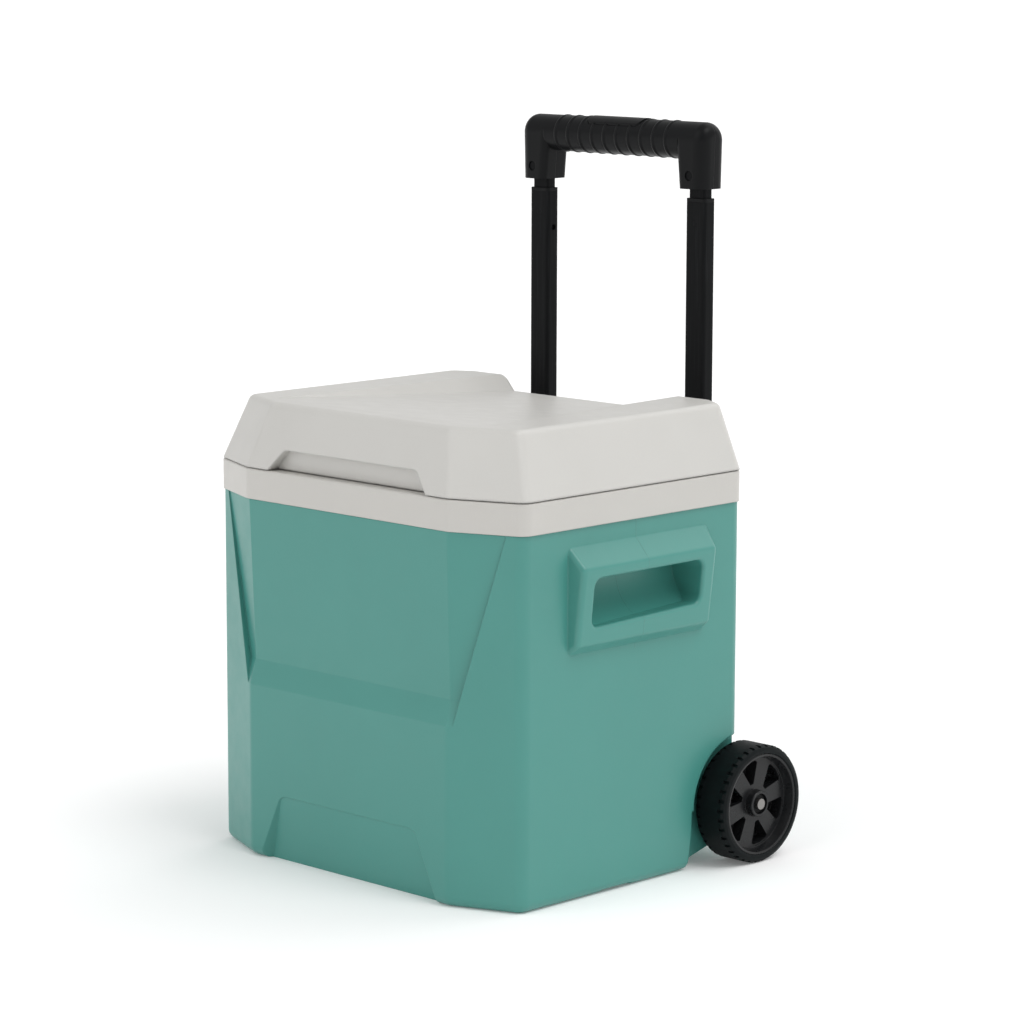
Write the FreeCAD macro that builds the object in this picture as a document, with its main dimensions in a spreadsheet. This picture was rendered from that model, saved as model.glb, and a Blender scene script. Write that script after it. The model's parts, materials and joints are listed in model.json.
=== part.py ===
"""Wheeled cooler with a telescoping pull handle: a parametric FreeCAD document.

Frame, in millimetres: +Z up, the front of the cooler faces -Y, +X is to the right of
somebody looking at the front. The origin is on the ground, under the middle of the object.
"""
import FreeCAD, Part
import math
import os
import Sketcher
from FreeCAD import Placement, Rotation, Vector

DIMENSIONS = {
    # Outside of the body, seen from above: a rectangle with chamfered corners
    "half_width": 179.0,
    "front_depth": 172.8,
    "rear_depth": 133.0,
    "front_chamfer_x": 61.3,
    "front_chamfer_y": 25.2,
    "rear_chamfer_x": 30.0,
    "rear_chamfer_y": 23.4,
    "crease_radius": 12.0,
    "bottom_radius": 9.0,
    "shell_top": 307.0,
    "shell_wall": 3.0,
    "floor_wall": 3.5,
    # How far the cutting tools reach past what they cut
    "span": 200.0,
    "lead": 10.0,
    # Shield-shaped recess in the front wall
    "shield_top_half": 166.0,
    "shield_bottom_half": 120.0,
    "shield_floor_height": 170.0,
    "shield_end_height": 149.0,
    "shield_top_depth": 0.8,
    "shield_depth": 6.0,
    "shield_flank": 2.0,
    "shield_run_out": 3.5,
    "shield_mouth_depth": 40.0,
    # Tapered recess above the front foot
    "foot_top_half": 76.0,
    "foot_bottom_half": 103.0,
    "foot_height": 58.0,
    "foot_depth": 10.0,
    "foot_flank": 6.0,
    "foot_corner": 9.0,
    "foot_mouth_lead": 2.0,
    "foot_mouth_depth": 16.0,
    "foot_top_depth": 0.5,
    # Underside
    "underside_rise": 3.0,
    "rear_rise": 24.0,
    "notch_front": -51.0,
    "notch_rear": -14.0,
    "rear_foot_end": 41.0,
    "notch_front_run": 6.0,
    "notch_rear_run": 3.0,
    "rear_foot_run": 10.0,
    # Hand pocket in each side wall
    "ledge_front": -97.5,
    "ledge_rear": 71.0,
    "ledge_top": 292.0,
    "ledge_lip": 275.5,
    "ledge_bottom": 204.0,
    "ledge_reach": 15.0,
    "ledge_lip_height": 5.0,
    "ledge_foot_reach": 9.0,
    "ledge_foot_height": 8.0,
    "ledge_corner": 8.0,
    "ledge_root": 2.0,
    "ledge_edge_radius": 5.0,
    "pocket_edge_radius": 3.0,
    "ledge_draft": 4.0,
    "ledge_rear_lean": 4.0,
    "pocket_front": -79.0,
    "pocket_rear": 51.0,
    "pocket_top": 266.5,
    "pocket_bottom": 226.0,
    "pocket_bottom_rise": 4.0,
    "pocket_back": 157.0,
    "pocket_curve": 36.0,
    "pocket_floor_fall": 2.0,
    "pocket_corner": 8.0,
    "pocket_reach": 30.0,
    "pocket_mouth_lead": 20.0,
    "pocket_mouth_depth": 80.0,
    # Wheel wells
    "well_wall_x": 167.0,
    "well_radius": 58.0,
    "well_toe": 47.0,
    "well_toe_run": 8.0,
    "well_toe_lean": 5.0,
    "well_toe_height": 12.0,
    "well_flare": 30.0,
    "well_reach": 20.0,
    "well_rear": 150.0,
    # Inner liner and its collar
    "collar_proud": 2.0,
    "collar_top": 332.8,
    "collar_edge_radius": 1.5,
    "liner_wall": 2.5,
    "tub_half_width": 143.0,
    "tub_front": 139.0,
    "tub_rear": 99.0,
    "tub_floor": 42.0,
    "tub_draft": 6.0,
    "tub_corner": 24.0,
    # Lid
    "lid_bottom": 333.6,
    "lid_top": 388.0,
    "lid_top_half": 159.5,
    "lid_top_front": 157.0,
    "lid_rear": 125.0,
    "lid_top_rear": 120.0,
    "lid_rear_chamfer_x": 24.0,
    "lid_rear_chamfer_y": 14.0,
    "lid_edge_radius": 6.5,
    "lid_wall": 3.0,
    "tray_front": -136.0,
    "tray_front_half": 122.0,
    "tray_rear_half": 104.0,
    "tray_flank": 10.0,
    "tray_depth": 15.0,
    "tray_front_depth": 0.3,
    "tray_lead": 5.0,
    "grasp_bottom_half": 95.0,
    "grasp_top_half": 78.0,
    "grasp_height": 17.5,
    "grasp_wall_y": -161.0,
    "grasp_corner": 6.0,
    "lid_liner_skirt": 1.5,
    "plug_depth": 12.0,
    "plug_clearance": 3.5,
    "plug_wall": 2.5,
    # Lid hinge
    "hinge_y": 120.0,
    "hinge_height": 370.0,
    "hinge_x": 121.0,
    "hinge_boss": 6.0,
    "hinge_pin_radius": 2.5,
    "hinge_running_gap": 0.05,
    "ear_thickness": 14.0,
    "cheek_thickness": 3.0,
    "cheek_rim": 3.0,
    "pin_end_gap": 0.2,
    "ear_gap": 0.4,
    "hinge_pocket_front": 8.0,
    "hinge_pocket_top": 8.0,
    "ear_foot_depth": 6.5,
    "ear_step": 3.0,
    "ear_clearance": 1.5,
    "ear_lean": 12.0,
    "hinge_plate_thickness": 4.0,
    "hinge_plate_reach": 22.0,
    "hinge_screw_offset": 15.0,
    "hinge_screw_low": 7.5,
    "hinge_screw_high": 18.0,
    # Telescoping handle
    "tube_x": 92.0,
    "tube_y": 156.3,
    "fixed_tube_width": 26.0,
    "fixed_tube_depth": 17.5,
    "fixed_tube_bottom": 26.0,
    "fixed_tube_top": 333.0,
    "mid_tube_width": 22.0,
    "mid_tube_depth": 14.0,
    "mid_tube_bottom": 285.0,
    "mid_tube_top": 549.5,
    "inner_tube_width": 18.0,
    "inner_tube_depth": 10.4,
    "inner_tube_bottom": 312.0,
    "inner_tube_top": 575.0,
    "tube_wall": 1.2,
    "tube_corner": 3.0,
    "slide_gap": 0.1,
    "bush_flange": 3.0,
    "bush_length": 20.0,
    "plug_foot": 6.0,
    "lock_pin_radius": 2.4,
    "lock_pin_length": 9.0,
    "lock_pin_set_back": 0.1,
    "lock_hole_gap": 0.3,
    "lock_seat_depth": 22.0,
    "lock_seat_lead": 20.0,
    "mid_plug_rise": 6.0,
    "inner_plug_rise": 8.0,
    "mid_lock_height": 289.0,
    "inner_lock_height": 329.0,
    "mid_hole_height": 517.5,
    "rivet_radius": 2.5,
    "rivet_height": 531.5,
    # Handle brackets
    "bracket_half_width": 110.0,
    "bracket_top": 331.0,
    "bracket_height": 28.0,
    "bracket_rear": 170.6,
    "base_bottom": 24.0,
    "base_height": 34.0,
    "bracket_waist": 9.0,
    "bracket_ear_width": 20.0,
    "bracket_ear_run": 8.0,
    "bracket_corner": 3.0,
    "upper_screw_rise": 9.0,
    "lower_screw_rise": 20.0,
    "bracket_screw_pitch": 52.0,
    "bracket_screw_length": 9.0,
    "screw_radius": 2.2,
    "screw_head_radius": 4.2,
    "screw_head_height": 2.4,
    # Grip
    "grip_bar_radius": 15.8,
    "grip_height": 601.2,
    "grip_bottom": 560.8,
    "grip_top": 617.0,
    "grip_inner_half": 74.0,
    "grip_outer_half": 108.2,
    "grip_foot_inner": 79.0,
    "grip_foot_outer": 106.8,
    "grip_leg_radius": 6.0,
    "grip_corner_radius": 11.0,
    "grip_screw_height": 572.0,
    "grip_screw_length": 12.0,
    "grip_front": 140.5,
    "grip_rear": 172.1,
    "rib_pitch": 14.3,
    "rib_count": 10.0,
    "rib_radius": 2.6,
    "rib_sunk": 1.9,
    "channel_half": 100.0,
    "channel_depth": 8.0,
    "channel_bottom": 586.0,
    "channel_top": 602.0,
    "button_half_length": 31.0,
    "button_half_width": 12.0,
    "button_radius": 16.8,
    "button_bottom": 608.5,
    "button_corner": 5.0,
    "button_gap": 0.4,
    "button_well": 603.6,
    "stem_half_length": 24.0,
    "stem_half_width": 3.4,
    "yoke_bottom": 592.0,
    "yoke_top": 597.5,
    "yoke_width": 7.0,
    "rod_radius": 2.3,
    "rod_bottom": 346.0,
    "spring_radius": 3.9,
    "spring_wire": 0.9,
    "spring_turns": 5.0,
    "spring_well_gap": 1.1,
    "yoke_reach": 4.0,
    "rod_seat": 3.0,
    # Wheels and axle
    "wheel_y": 115.5,
    "wheel_radius": 50.3,
    "wheel_inner_x": 172.5,
    "wheel_outer_x": 205.0,
    "tyre_seat_radius": 43.2,
    "rim_inner_radius": 41.0,
    "disc_setback": 9.0,
    "disc_thickness": 15.0,
    "window_inner_radius": 16.5,
    "window_outer_radius": 36.5,
    "spoke_count": 6.0,
    "hub_radius": 11.0,
    "hub_recess_radius": 8.8,
    "hub_recess_depth": 3.5,
    "hub_boss_setback": 2.5,
    "window_depth": 11.0,
    "window_inner_half": 2.0,
    "window_outer_half": 10.0,
    "window_shoulder": 3.0,
    "rim_cone": 2.5,
    "rim_back_cone": 3.0,
    "rim_seat": 2.0,
    "hub_edge": 0.6,
    "wheel_turn": 12.0,
    "lug_count": 38.0,
    "tread_lug_depth": 1.5,
    "tread_lug_width": 2.8,
    "tread_band": 6.5,
    "tyre_bead": 0.8,
    "tyre_shoulder_inner": 4.0,
    "tyre_shoulder_outer": 1.6,
    "tyre_shoulder_width": 3.2,
    "axle_radius": 4.6,
    "axle_gap": 0.05,
    "axle_half_length": 203.6,
    "sleeve_radius": 8.0,
    "washer_radius": 12.0,
    "washer_gap": 0.2,
    "washer_thickness": 4.6,
    "nut_radius": 8.2,
    "nut_thickness": 1.2,
    "nut_gap": 0.4,
}

doc = FreeCAD.newDocument("wheeled_cooler")
sheet = doc.addObject("Spreadsheet::Sheet", "Sizes")
for row, (word, number) in enumerate(DIMENSIONS.items(), start=1):
    sheet.set(f"A{row}", word)
    sheet.set(f"B{row}", str(number))
    sheet.setAlias(f"B{row}", word)
doc.recompute()


class Size:
    """A number together with the spreadsheet expression that it comes from."""

    def __init__(self, value, text):
        self.value = value
        self.text = text

    def _join(self, other, sign, result):
        return Size(result, f"({self.text} {sign} {size(other).text})")

    def __add__(self, other):
        return self._join(other, "+", self.value + size(other).value)

    def __sub__(self, other):
        return self._join(other, "-", self.value - size(other).value)

    def __mul__(self, other):
        return self._join(other, "*", self.value * size(other).value)

    def __truediv__(self, other):
        return self._join(other, "/", self.value / size(other).value)

    def __radd__(self, other):
        return size(other) + self

    def __rsub__(self, other):
        return size(other) - self

    def __rmul__(self, other):
        return size(other) * self

    def __neg__(self):
        return Size(-self.value, f"(0 - {self.text})")


def size(number):
    """Turns a plain number into a Size, and leaves a Size as it is."""
    if isinstance(number, Size):
        return number
    return Size(float(number), repr(float(number)))


class Sheet:
    """Reads an alias of the spreadsheet as an attribute."""

    def __getattr__(self, word):
        return Size(float(DIMENSIONS[word]), f"Sizes.{word}")


D = Sheet()
PLANES = {
    "XY": Rotation(),
    "XZ": Rotation(Vector(1, 0, 0), 90),
    "YZ": Rotation(Vector(1, 1, 1), 120),
}
NORMALS = {"XY": Vector(0, 0, 1), "XZ": Vector(0, 1, 0), "YZ": Vector(1, 0, 0)}
ACROSS = {"XY": "z", "XZ": "y", "YZ": "x"}
PARTS = {}


def bind(thing, path, number):
    """Ties one property of a document object to the spreadsheet."""
    thing.setExpression(path, size(number).text)


def place(thing, x=0, y=0, z=0):
    """Ties the position of a document object to the spreadsheet."""
    bind(thing, "Placement.Base.x", x)
    bind(thing, "Placement.Base.y", y)
    bind(thing, "Placement.Base.z", z)


def part(name, thing):
    """Registers a finished sub-part under the name of its node."""
    thing.Label = name
    PARTS[name] = thing
    return thing


# ---------------------------------------------------------------- solids and booleans

def block(name, x, y, z):
    """A box between pairs of coordinates."""
    box = doc.addObject("Part::Box", name)
    place(box, x[0], y[0], z[0])
    bind(box, "Length", size(x[1]) - x[0])
    bind(box, "Width", size(y[1]) - y[0])
    bind(box, "Height", size(z[1]) - z[0])
    return box


AXES = {
    "X": Rotation(Vector(0, 1, 0), 90),
    "Y": Rotation(Vector(1, 0, 0), -90),
    "Z": Rotation(),
}


def rod(name, axis, radius, start, length):
    """A cylinder that runs from start along a positive axis."""
    cylinder = doc.addObject("Part::Cylinder", name)
    cylinder.Placement = Placement(Vector(), AXES[axis])
    place(cylinder, *start)
    bind(cylinder, "Radius", radius)
    bind(cylinder, "Height", length)
    return cylinder


def constrain_point(sketch, geometry, end, point):
    """Fixes one point of a sketch with two distances from its origin."""
    for kind, number in (("DistanceX", point[0]), ("DistanceY", point[1])):
        number = size(number)
        index = sketch.addConstraint(
            Sketcher.Constraint(kind, -1, 1, geometry, end, number.value))
        sketch.setExpression(f"Constraints[{index}]", number.text)


def draw_polygon(sketch, points):
    """Draws a closed outline whose corners are tied to the spreadsheet."""
    corners = [Vector(size(u).value, size(v).value, 0) for u, v in points]
    for index, corner in enumerate(corners):
        following = corners[(index + 1) % len(corners)]
        sketch.addGeometry(Part.LineSegment(corner, following))
    for index in range(len(points)):
        following = (index + 1) % len(points)
        sketch.addConstraint(Sketcher.Constraint("Coincident", index, 2, following, 1))
    for index, point in enumerate(points):
        constrain_point(sketch, index, 1, point)


def free_sketch(name, plane, level):
    """A sketch outside any body, on a plane parallel to one of the main planes."""
    sketch = doc.addObject("Sketcher::SketchObject", name)
    sketch.Placement = Placement(Vector(), PLANES[plane])
    bind(sketch, f"Placement.Base.{ACROSS[plane]}", level)
    return sketch


def prism(name, plane, points, start, end):
    """Extrudes a polygon between two levels across its plane."""
    sketch = free_sketch(name + "_outline", plane, start)
    draw_polygon(sketch, points)
    solid = doc.addObject("Part::Extrusion", name)
    solid.Base = sketch
    solid.DirMode = "Custom"
    solid.Dir = NORMALS[plane]
    bind(solid, "LengthFwd", size(end) - start)
    solid.Solid = True
    return solid


def loft(name, plane, sections):
    """Joins polygons at several levels with flat faces."""
    sketches = []
    for number, (level, points) in enumerate(sections, start=1):
        sketch = free_sketch(f"{name}_section_{number}", plane, level)
        draw_polygon(sketch, points)
        sketches.append(sketch)
    solid = doc.addObject("Part::Loft", name)
    solid.Sections = sketches
    solid.Solid = True
    solid.Ruled = True
    return solid


def fuse(name, *pieces):
    """Joins pieces into one solid."""
    joined = doc.addObject("Part::MultiFuse", name)
    joined.Shapes = list(pieces)
    joined.Refine = True
    return joined


def cut(name, base, *tools):
    """Takes one or more tools away from a base."""
    tool = tools[0]
    if len(tools) > 1:
        tool = fuse(name + "_tools", *tools)
    remainder = doc.addObject("Part::Cut", name)
    remainder.Base = base
    remainder.Tool = tool
    remainder.Refine = True
    return remainder


def common(name, first, second):
    """Keeps what two pieces share."""
    shared = doc.addObject("Part::MultiCommon", name)
    shared.Shapes = [first, second]
    return shared


def mirrored(name, source):
    """A copy of a piece on the other side of the middle plane."""
    twin = doc.addObject("Part::Mirroring", name)
    twin.Source = source
    twin.Normal = Vector(1, 0, 0)
    return twin


def both_sides(name, source):
    """A piece and its mirror twin, joined into one tool."""
    return fuse(name, source, mirrored(name + "_twin", source))


def group(name, *pieces):
    """Identical loose pieces that share one node."""
    compound = doc.addObject("Part::Compound", name)
    compound.Links = list(pieces)
    return compound


def softened(name, base, edges, radius):
    """Rounds the chosen edges of a finished solid."""
    doc.recompute()
    rounded = doc.addObject("Part::Fillet", name)
    rounded.Base = base
    amount = size(radius).value
    rounded.Edges = [(number, amount, amount) for number in edges(base.Shape)]
    return rounded


# ---------------------------------------------------------------- PartDesign helpers

def new_body(name):
    """An empty PartDesign body."""
    return doc.addObject("PartDesign::Body", name)


def body_sketch(body, name, plane, level=0):
    """A sketch on one of a body's own main planes, moved to a level."""
    role = plane + "_Plane"
    support = next(item for item in body.Origin.OriginFeatures if item.Role == role)
    sketch = body.newObject("Sketcher::SketchObject", name)
    sketch.AttachmentSupport = (support, "")
    sketch.MapMode = "FlatFace"
    direction = -1 if plane == "XZ" else 1
    bind(sketch, "AttachmentOffset.Base.z", size(level) * direction)
    return sketch


def pad(body, sketch, length, reverse=False):
    """Extrudes a sketch of a body into material."""
    feature = body.newObject("PartDesign::Pad", sketch.Name + "_pad")
    feature.Profile = sketch
    feature.Reversed = reverse
    bind(feature, "Length", length)
    return feature


def pocket(body, sketch, length, reverse=False):
    """Extrudes a sketch of a body into a hollow, and makes sure that it cuts."""
    doc.recompute()
    before = body.Shape.Volume
    feature = body.newObject("PartDesign::Pocket", sketch.Name + "_pocket")
    feature.Profile = sketch
    feature.Reversed = reverse
    bind(feature, "Length", length)
    doc.recompute()
    if body.Shape.Volume >= before:
        raise RuntimeError(f"{feature.Name} removes nothing")
    return feature


def fillet(body, edges, radius):
    """Rounds edges of the newest feature of a body."""
    doc.recompute()
    base = body.Tip
    feature = body.newObject("PartDesign::Fillet", f"{body.Name}_fillet")
    feature.Base = (base, [f"Edge{number}" for number in edges(base.Shape)])
    bind(feature, "Radius", radius)
    doc.recompute()
    return feature


def upright(low=-math.inf, high=math.inf):
    """Chooses straight edges along Z whose middle lies between two values of Y."""
    def choose(shape):
        chosen = []
        for number, edge in enumerate(shape.Edges, start=1):
            box = edge.BoundBox
            level = box.Center.y
            if box.XLength + box.YLength < 0.01 and low < level < high:
                chosen.append(number)
        return chosen
    return choose


def steep():
    """Chooses edges that climb more than they run, such as the corners of a tapered block."""
    def choose(shape):
        return [number for number, edge in enumerate(shape.Edges, start=1)
                if edge.BoundBox.ZLength > max(edge.BoundBox.XLength, edge.BoundBox.YLength)]
    return choose


def running_along(axis, low=-math.inf):
    """Chooses edges that run mostly along one axis and lie wholly above a height."""
    def choose(shape):
        chosen = []
        for number, edge in enumerate(shape.Edges, start=1):
            box = edge.BoundBox
            lengths = {"X": box.XLength, "Y": box.YLength, "Z": box.ZLength}
            if lengths[axis] > max(length for name, length in lengths.items() if name != axis) \
                    and box.ZMin > low:
                chosen.append(number)
        return chosen
    return choose


def level_at(height):
    """Chooses edges that lie flat at one height."""
    def choose(shape):
        return [number for number, edge in enumerate(shape.Edges, start=1)
                if edge.BoundBox.ZLength < 0.01
                and abs(edge.BoundBox.ZMin - size(height).value) < 0.01]
    return choose


def rectangle(cx, cy, width, depth):
    """The corners of a rectangle, anticlockwise from its low corner."""
    left = size(cx) - size(width) / 2
    right = size(cx) + size(width) / 2
    low = size(cy) - size(depth) / 2
    high = size(cy) + size(depth) / 2
    return [(left, low), (right, low), (right, high), (left, high)]


def rounded_bar(name, centre, section, corner, bottom, top):
    """An upright bar of rounded rectangular section, as a PartDesign body."""
    body = new_body(name)
    sketch = body_sketch(body, name + "_section", "XY", bottom)
    draw_polygon(sketch, rectangle(*centre, *section))
    pad(body, sketch, size(top) - bottom)
    if size(corner).value > 0:
        fillet(body, upright(), corner)
    return body


def tube(name, centre, section, corner, wall, bottom, top):
    """An upright tube of rounded rectangular section."""
    outside = rounded_bar(name + "_outside", centre, section, corner, bottom, top)
    inner = (section[0] - size(wall) * 2, section[1] - size(wall) * 2)
    bore = rounded_bar(name + "_bore", centre, inner, corner - wall, bottom - 1, size(top) + 1)
    return cut(name, outside, bore)


# ---------------------------------------------------------------- body of the cooler

def half_turn(rise, run):
    """Tangent of half the angle at which a chamfer leaves a straight wall."""
    value = math.tan(math.atan(rise.value / run.value) / 2)
    return Size(value, f"tan(atan({rise.text} / {run.text}) / 2)")


FRONT_TURN = half_turn(D.front_chamfer_y, D.front_chamfer_x)
SIDE_TURN = half_turn(D.front_chamfer_x, D.front_chamfer_y)


def plan(inset=0, proud=0, rear=None):
    """Outline from above: inset moves every wall inwards, proud widens the sides only."""
    inset = size(inset)
    side = D.half_width + proud - inset
    front = inset - D.front_depth
    back = (D.rear_depth if rear is None else size(rear)) - inset
    front_x = D.half_width + proud - D.front_chamfer_x - inset * FRONT_TURN
    front_y = D.front_chamfer_y - D.front_depth + inset * SIDE_TURN
    back_x = side - D.rear_chamfer_x + inset * 0.5
    back_y = back - D.rear_chamfer_y + inset * 0.5
    return [(-front_x, front), (front_x, front), (side, front_y), (side, back_y),
            (back_x, back), (-back_x, back), (-side, back_y), (-side, front_y)]


def body_prism(name, inset, bottom, top):
    """The straight body form with soft creases and a rounded bottom edge."""
    body = new_body(name)
    sketch = body_sketch(body, name + "_plan", "XY", bottom)
    draw_polygon(sketch, plan(inset))
    pad(body, sketch, size(top) - bottom)
    fillet(body, upright(), D.crease_radius)
    fillet(body, level_at(bottom), D.bottom_radius)
    return body


def shield_recess(name, grown):
    """Space taken out of the front wall; grown makes it larger all round."""
    grown = size(grown)
    low = D.shield_end_height - D.shield_run_out - grown * 0.5
    high = D.shell_top + 1
    floor = loft(name + "_floor", "XY", [
        (low, plan(grown - 1)),
        (D.shield_floor_height, plan(D.shield_depth + grown)),
        (high, plan(D.shield_top_depth + grown)),
    ])
    space = block(name + "_space", (-D.span, D.span), (-D.span, 0), (low, high))
    ring = cut(name + "_ring", space, floor)

    def trapezoid(extra):
        return [(-D.shield_bottom_half - extra, low - 1), (D.shield_bottom_half + extra, low - 1),
                (D.shield_top_half + extra, high + 1), (-D.shield_top_half - extra, high + 1)]

    mouth = loft(name + "_mouth", "XZ", [
        (-D.front_depth - D.lead, trapezoid(grown + D.shield_flank)),
        (-D.front_depth + D.shield_mouth_depth, trapezoid(grown - D.shield_flank)),
    ])
    return common(name, ring, mouth)


def foot_recess(name, grown):
    """Wedge taken out of the front wall above the ground."""
    grown = size(grown)
    top = D.foot_height + grown
    low = -size(1)
    wedge = prism(name + "_wedge", "YZ", [
        (-D.front_depth - D.lead, top), (-D.front_depth - D.lead, low),
        (D.foot_depth - D.front_depth + grown, low),
        (D.foot_top_depth - D.front_depth + grown, top)], -D.span, D.span)

    def trapezoid(extra):
        return [(-D.foot_bottom_half - extra, low), (D.foot_bottom_half + extra, low),
                (D.foot_top_half + extra, top), (-D.foot_top_half - extra, top)]

    mouth = loft(name + "_mouth", "XZ", [
        (-D.front_depth - D.foot_mouth_lead, trapezoid(grown + D.foot_flank)),
        (-D.front_depth + D.foot_mouth_depth, trapezoid(grown - D.foot_flank)),
    ])
    upper_corners = running_along("Y", D.foot_height.value / 2)
    return common(name, wedge, softened(name + "_mouth_round", mouth, upper_corners, D.foot_corner))


def underside(name, grown):
    """Space under the body: a shallow notch and the rise behind the rear feet."""
    grown = size(grown)
    roof = D.underside_rise + grown
    behind = D.rear_depth + 1
    return prism(name, "YZ", [
        (D.notch_front - D.notch_front_run, -D.lead),
        (D.notch_front - D.notch_front_run, grown), (D.notch_front, roof),
        (D.notch_rear - D.notch_rear_run, roof), (D.notch_rear, grown), (D.rear_foot_end, grown),
        (D.rear_foot_end + D.rear_foot_run, roof), (behind, D.rear_rise + grown),
        (behind, -D.lead)], -D.span, D.span)


def wheel_well(name, grown):
    """Space for one wheel, open to the side, to the rear and below."""
    grown = size(grown)
    wall = D.well_wall_x - grown
    toe = block(name + "_toe", (wall, D.span), (D.well_toe + D.well_toe_run - grown, D.well_rear),
                (-D.lead, D.wheel_radius))
    flare = prism(name + "_flare", "YZ", [
        (D.well_toe - grown, -D.lead), (D.well_toe + D.well_flare, -D.lead),
        (D.well_toe + D.well_flare, D.wheel_radius),
        (D.wheel_y - D.well_radius - grown, D.wheel_radius),
        (D.well_toe + D.well_toe_lean - grown, D.well_toe_height)], wall, D.span)
    arch = rod(name + "_arch", "X", D.well_radius + grown, (wall, D.wheel_y, D.wheel_radius),
               D.rear_chamfer_x + D.well_reach)
    return fuse(name, toe, flare, arch)


def pocket_scoop(name, grown):
    """Curved hollow behind the lip of one side ledge."""
    grown = size(grown)
    back = D.pocket_back - grown
    high = D.pocket_top + grown
    low = D.pocket_bottom - grown
    outside = D.half_width + D.pocket_reach
    blank = prism(name + "_blank", "XZ", [
        (back, high), (back, low), (outside, low - D.pocket_floor_fall), (outside, high)],
        D.pocket_front - grown, D.pocket_rear + grown)

    def lower_back(shape):
        """The edge where the back of the hollow meets its floor."""
        return [number for number in running_along("Y")(shape)
                if shape.Edges[number - 1].BoundBox.XMax < back.value + 1
                and shape.Edges[number - 1].BoundBox.ZMax < low.value + 1]

    profile = softened(name + "_profile", blank, lower_back, D.pocket_curve + grown)
    mouth = new_body(name + "_mouth")
    sketch = body_sketch(mouth, name + "_mouth_outline", "YZ", D.pocket_back - D.pocket_mouth_lead)
    draw_polygon(sketch, [
        (D.pocket_front - grown, low), (D.pocket_rear + grown, low + D.pocket_bottom_rise),
        (D.pocket_rear + grown, high), (D.pocket_front - grown, high)])
    pad(mouth, sketch, D.pocket_mouth_depth)
    fillet(mouth, running_along("X"), D.pocket_corner)
    return common(name, profile, mouth)


def outboard(limit, span=None, reach_only=False):
    """Chooses edges that lie beyond a limit in X, or only reach past it, within a span of Y if given."""
    def choose(shape):
        chosen = []
        for number, edge in enumerate(shape.Edges, start=1):
            box = edge.BoundBox
            level = box.XMax if reach_only else box.XMin
            inside = span is None or (box.YMin > span[0].value and box.YMax < span[1].value)
            if level > limit.value and inside:
                chosen.append(number)
        return chosen
    return choose


def side_ledge(name, scoop):
    """Raised hand ledge on one side: its top slopes down to a lip round the mouth of the pocket."""
    wall = D.half_width
    lip = wall + D.ledge_reach
    root = wall - D.ledge_root
    root_top = D.ledge_top + D.ledge_root * (D.ledge_top - D.ledge_lip) / D.ledge_reach
    root_bottom = D.ledge_bottom - D.ledge_root * D.ledge_foot_height / D.ledge_foot_reach
    face = prism(name + "_profile", "XZ", [
        (root, root_bottom), (wall + D.ledge_foot_reach, D.ledge_bottom + D.ledge_foot_height),
        (lip, D.ledge_lip - D.ledge_lip_height), (lip, D.ledge_lip), (root, root_top)],
        D.ledge_front, D.ledge_rear)

    def outline(inward):
        inward = size(inward)
        front = D.ledge_front + inward
        rear = D.ledge_rear - inward
        return [(front, root_bottom - 1), (rear - D.ledge_rear_lean, root_bottom - 1),
                (rear, root_top + 1), (front, root_top + 1)]

    taper = softened(name + "_taper", loft(name + "_taper_block", "YZ", [
        (root, outline(0)), (lip + 1, outline(D.ledge_draft))]), running_along("X"), D.ledge_corner)
    rounded = softened(name + "_rounded", common(name + "_blank", face, taper),
                       outboard(wall, reach_only=True), D.ledge_edge_radius)
    mouth_span = (D.pocket_front - 1, D.pocket_rear + 1)
    return softened(name, cut(name + "_open", rounded, scoop),
                    outboard(wall + D.ledge_foot_reach, mouth_span), D.pocket_edge_radius)


def tub_form(name, grown, bottom, top):
    """The tapered inside of the liner; grown makes the outside of the same wall."""
    grown = size(grown)

    def corners(shrink):
        side = D.tub_half_width + grown - shrink
        front = shrink - D.tub_front - grown
        rear = D.tub_rear + grown - shrink
        return [(-side, front), (side, front), (side, rear), (-side, rear)]

    form = loft(name + "_walls", "XY", [(bottom, corners(D.tub_draft)), (top, corners(size(0)))])
    return softened(name, form, steep(), D.tub_corner + grown)


def collar_ring(name, proud, inset, heights):
    """A block with the outline of the collar, between two heights."""
    collar = new_body(name)
    sketch = body_sketch(collar, name + "_plan", "XY", heights[0])
    draw_polygon(sketch, plan(inset, proud))
    pad(collar, sketch, heights[1] - heights[0])
    fillet(collar, upright(), D.crease_radius)
    return collar


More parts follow.
